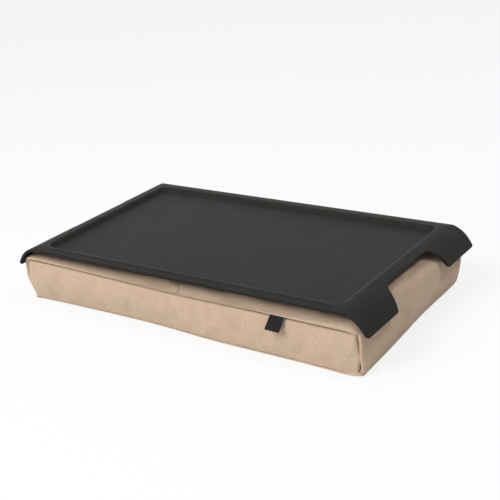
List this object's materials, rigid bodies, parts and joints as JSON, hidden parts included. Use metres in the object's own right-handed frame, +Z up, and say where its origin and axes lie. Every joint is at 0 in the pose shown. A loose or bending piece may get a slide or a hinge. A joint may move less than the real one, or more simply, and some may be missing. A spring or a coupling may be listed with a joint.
{
  "type": "lap tray with cushion",
  "caption": "Shallow matt tray with down-turned ends and grip notches, held by hook and loop tape on a bead-filled lap cushion with a zipped fabric cover.",
  "frame": {"origin": "on the surface under the cushion, midway between the tray's two ends and its two long edges", "axes": "+X along the tray, -Y towards the long side with the label, +Z up"},
  "size_m": [0.4312, 0.2374, 0.0658],
  "materials": {
    "tray": "dark charcoal, matt non-slip coating",
    "cover_fabric": "light brown brushed suede-like cloth with a soft nap",
    "label_ribbon": "black woven ribbon",
    "liner_fabric": "plain white woven lining",
    "bead_fill": "expanded polystyrene beads",
    "hook_tape": "black hook tape",
    "loop_tape": "black looped pile tape",
    "zip_tape": "brown woven tape",
    "zip_coil": "brown nylon",
    "zip_metal": "brown lacquered die casting"
  },
  "bodies": {
    "cushion": {"loop_tape_front": "loop_tape", "loop_tape_back": "loop_tape", "cover_wrap": "cover_fabric", "cover_front_panel": "cover_fabric", "cover_back_panel": "cover_fabric", "seam_label": "label_ribbon", "inner_liner": "liner_fabric", "bead_fill": "bead_fill", "zip_tape_upper": "zip_tape", "zip_tape_lower": "zip_tape", "zip_coil_upper": "zip_coil", "zip_coil_lower": "zip_coil", "zip_stops": "zip_metal"},
    "tray": {"tray_board": "tray", "hook_tape_front": "hook_tape", "hook_tape_back": "hook_tape"},
    "zip_slider": {"zip_slider": "zip_metal"},
    "zip_pull": {"zip_pull": "zip_metal"}
  },
  "joints": [
    {"name": "tray_lift", "type": "slide", "parent": "cushion", "child": "tray", "axis": [0, 0, 1], "range_m": [0, 0.12]},
    {"name": "zip_slide", "type": "slide", "parent": "cushion", "child": "zip_slider", "axis": [1, 0, 0], "range_m": [0, 0.298]},
    {"name": "zip_pull_swing", "type": "hinge", "parent": "zip_slider", "child": "zip_pull", "pos_m": [-0.1503, 0.11396, 0.027], "axis": [0, 0, 1], "range_deg": [0, 170]}
  ]
}
